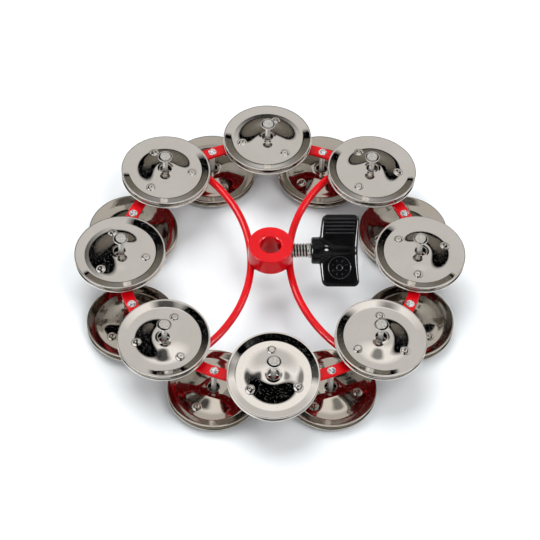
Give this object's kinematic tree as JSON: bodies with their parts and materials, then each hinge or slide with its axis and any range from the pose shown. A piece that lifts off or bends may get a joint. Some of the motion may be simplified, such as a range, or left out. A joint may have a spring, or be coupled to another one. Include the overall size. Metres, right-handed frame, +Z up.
{
  "type": "clamp-on jingle ring",
  "caption": "Headless metal tambourine ring with paired jingles on pins above and below a flat hoop, and a central rod clamp with a wing screw.",
  "frame": {"origin": "centre of the rod bore, half way up the clamp hub", "axes": "+Z up along the rod bore, +X along the clamp screw towards its knob"},
  "size_m": [0.1656, 0.1646, 0.0336],
  "materials": {
    "red_paint": "gloss powder coat",
    "nickel": "polished nickel plate",
    "zinc_steel": "bright zinc plate",
    "black_plastic": "gloss"
  },
  "bodies": {
    "frame": {"ring": "red_paint", "brace_left": "red_paint", "brace_right": "red_paint", "hub": "red_paint", "ring_welds": "red_paint", "hub_welds": "red_paint", "top_pins": "nickel", "bottom_pins": "nickel"},
    "top_1_lower": {"top_1_lower": "nickel"},
    "top_1_upper": {"top_1_upper": "nickel"},
    "top_2_lower": {"top_2_lower": "nickel"},
    "top_2_upper": {"top_2_upper": "nickel"},
    "top_3_lower": {"top_3_lower": "nickel"},
    "top_3_upper": {"top_3_upper": "nickel"},
    "top_4_lower": {"top_4_lower": "nickel"},
    "top_4_upper": {"top_4_upper": "nickel"},
    "top_5_lower": {"top_5_lower": "nickel"},
    "top_5_upper": {"top_5_upper": "nickel"},
    "top_6_lower": {"top_6_lower": "nickel"},
    "top_6_upper": {"top_6_upper": "nickel"},
    "top_7_lower": {"top_7_lower": "nickel"},
    "top_7_upper": {"top_7_upper": "nickel"},
    "top_8_lower": {"top_8_lower": "nickel"},
    "top_8_upper": {"top_8_upper": "nickel"},
    "bottom_1_lower": {"bottom_1_lower": "nickel"},
    "bottom_1_upper": {"bottom_1_upper": "nickel"},
    "bottom_2_lower": {"bottom_2_lower": "nickel"},
    "bottom_2_upper": {"bottom_2_upper": "nickel"},
    "bottom_3_lower": {"bottom_3_lower": "nickel"},
    "bottom_3_upper": {"bottom_3_upper": "nickel"},
    "bottom_4_lower": {"bottom_4_lower": "nickel"},
    "bottom_4_upper": {"bottom_4_upper": "nickel"},
    "bottom_5_lower": {"bottom_5_lower": "nickel"},
    "bottom_5_upper": {"bottom_5_upper": "nickel"},
    "bottom_6_lower": {"bottom_6_lower": "nickel"},
    "bottom_6_upper": {"bottom_6_upper": "nickel"},
    "bottom_7_lower": {"bottom_7_lower": "nickel"},
    "bottom_7_upper": {"bottom_7_upper": "nickel"},
    "bottom_8_lower": {"bottom_8_lower": "nickel"},
    "bottom_8_upper": {"bottom_8_upper": "nickel"},
    "clamp_collar": {"clamp_collar": "zinc_steel"},
    "clamp_handle": {"clamp_screw": "zinc_steel", "clamp_knob": "black_plastic"}
  },
  "joints": [
    {"name": "clamp_travel", "type": "slide", "parent": "frame", "child": "clamp_collar", "axis": [-1, 0, 0], "range_m": [-0.00254, 0.00508]},
    {"name": "clamp_turn", "type": "hinge", "parent": "clamp_collar", "child": "clamp_handle", "pos_m": [0.02, 0, 0], "axis": [-1, 0, 0], "range_deg": [-720.5, 1440.5]},
    {"name": "top_1_lower_slide", "type": "slide", "parent": "frame", "child": "top_1_lower", "axis": [0, 0, 1], "range_m": [0, 0.0032]},
    {"name": "top_1_upper_slide", "type": "slide", "parent": "top_1_lower", "child": "top_1_upper", "axis": [0, 0, 1], "range_m": [0, 0.0032]},
    {"name": "top_2_lower_slide", "type": "slide", "parent": "frame", "child": "top_2_lower", "axis": [0, 0, 1], "range_m": [0, 0.0032]},
    {"name": "top_2_upper_slide", "type": "slide", "parent": "top_2_lower", "child": "top_2_upper", "axis": [0, 0, 1], "range_m": [0, 0.0032]},
    {"name": "top_3_lower_slide", "type": "slide", "parent": "frame", "child": "top_3_lower", "axis": [0, 0, 1], "range_m": [0, 0.0032]},
    {"name": "top_3_upper_slide", "type": "slide", "parent": "top_3_lower", "child": "top_3_upper", "axis": [0, 0, 1], "range_m": [0, 0.0032]},
    {"name": "top_4_lower_slide", "type": "slide", "parent": "frame", "child": "top_4_lower", "axis": [0, 0, 1], "range_m": [0, 0.0032]},
    {"name": "top_4_upper_slide", "type": "slide", "parent": "top_4_lower", "child": "top_4_upper", "axis": [0, 0, 1], "range_m": [0, 0.0032]},
    {"name": "top_5_lower_slide", "type": "slide", "parent": "frame", "child": "top_5_lower", "axis": [0, 0, 1], "range_m": [0, 0.0032]},
    {"name": "top_5_upper_slide", "type": "slide", "parent": "top_5_lower", "child": "top_5_upper", "axis": [0, 0, 1], "range_m": [0, 0.0032]},
    {"name": "top_6_lower_slide", "type": "slide", "parent": "frame", "child": "top_6_lower", "axis": [0, 0, 1], "range_m": [0, 0.0032]},
    {"name": "top_6_upper_slide", "type": "slide", "parent": "top_6_lower", "child": "top_6_upper", "axis": [0, 0, 1], "range_m": [0, 0.0032]},
    {"name": "top_7_lower_slide", "type": "slide", "parent": "frame", "child": "top_7_lower", "axis": [0, 0, 1], "range_m": [0, 0.0032]},
    {"name": "top_7_upper_slide", "type": "slide", "parent": "top_7_lower", "child": "top_7_upper", "axis": [0, 0, 1], "range_m": [0, 0.0032]},
    {"name": "top_8_lower_slide", "type": "slide", "parent": "frame", "child": "top_8_lower", "axis": [0, 0, 1], "range_m": [0, 0.0032]},
    {"name": "top_8_upper_slide", "type": "slide", "parent": "top_8_lower", "child": "top_8_upper", "axis": [0, 0, 1], "range_m": [0, 0.0032]},
    {"name": "bottom_1_lower_slide", "type": "slide", "parent": "frame", "child": "bottom_1_lower", "axis": [0, 0, 1], "range_m": [0, 0.0044]},
    {"name": "bottom_1_upper_slide", "type": "slide", "parent": "bottom_1_lower", "child": "bottom_1_upper", "axis": [0, 0, 1], "range_m": [0, 0.0044]},
    {"name": "bottom_2_lower_slide", "type": "slide", "parent": "frame", "child": "bottom_2_lower", "axis": [0, 0, 1], "range_m": [0, 0.0044]},
    {"name": "bottom_2_upper_slide", "type": "slide", "parent": "bottom_2_lower", "child": "bottom_2_upper", "axis": [0, 0, 1], "range_m": [0, 0.0044]},
    {"name": "bottom_3_lower_slide", "type": "slide", "parent": "frame", "child": "bottom_3_lower", "axis": [0, 0, 1], "range_m": [0, 0.0044]},
    {"name": "bottom_3_upper_slide", "type": "slide", "parent": "bottom_3_lower", "child": "bottom_3_upper", "axis": [0, 0, 1], "range_m": [0, 0.0044]},
    {"name": "bottom_4_lower_slide", "type": "slide", "parent": "frame", "child": "bottom_4_lower", "axis": [0, 0, 1], "range_m": [0, 0.0044]},
    {"name": "bottom_4_upper_slide", "type": "slide", "parent": "bottom_4_lower", "child": "bottom_4_upper", "axis": [0, 0, 1], "range_m": [0, 0.0044]},
    {"name": "bottom_5_lower_slide", "type": "slide", "parent": "frame", "child": "bottom_5_lower", "axis": [0, 0, 1], "range_m": [0, 0.0044]},
    {"name": "bottom_5_upper_slide", "type": "slide", "parent": "bottom_5_lower", "child": "bottom_5_upper", "axis": [0, 0, 1], "range_m": [0, 0.0044]},
    {"name": "bottom_6_lower_slide", "type": "slide", "parent": "frame", "child": "bottom_6_lower", "axis": [0, 0, 1], "range_m": [0, 0.0044]},
    {"name": "bottom_6_upper_slide", "type": "slide", "parent": "bottom_6_lower", "child": "bottom_6_upper", "axis": [0, 0, 1], "range_m": [0, 0.0044]},
    {"name": "bottom_7_lower_slide", "type": "slide", "parent": "frame", "child": "bottom_7_lower", "axis": [0, 0, 1], "range_m": [0, 0.0044]},
    {"name": "bottom_7_upper_slide", "type": "slide", "parent": "bottom_7_lower", "child": "bottom_7_upper", "axis": [0, 0, 1], "range_m": [0, 0.0044]},
    {"name": "bottom_8_lower_slide", "type": "slide", "parent": "frame", "child": "bottom_8_lower", "axis": [0, 0, 1], "range_m": [0, 0.0044]},
    {"name": "bottom_8_upper_slide", "type": "slide", "parent": "bottom_8_lower", "child": "bottom_8_upper", "axis": [0, 0, 1], "range_m": [0, 0.0044]}
  ],
  "couplings": [
    {"joint": "clamp_turn", "follows": "clamp_travel", "rad_per_m": 4947.4}
  ]
}
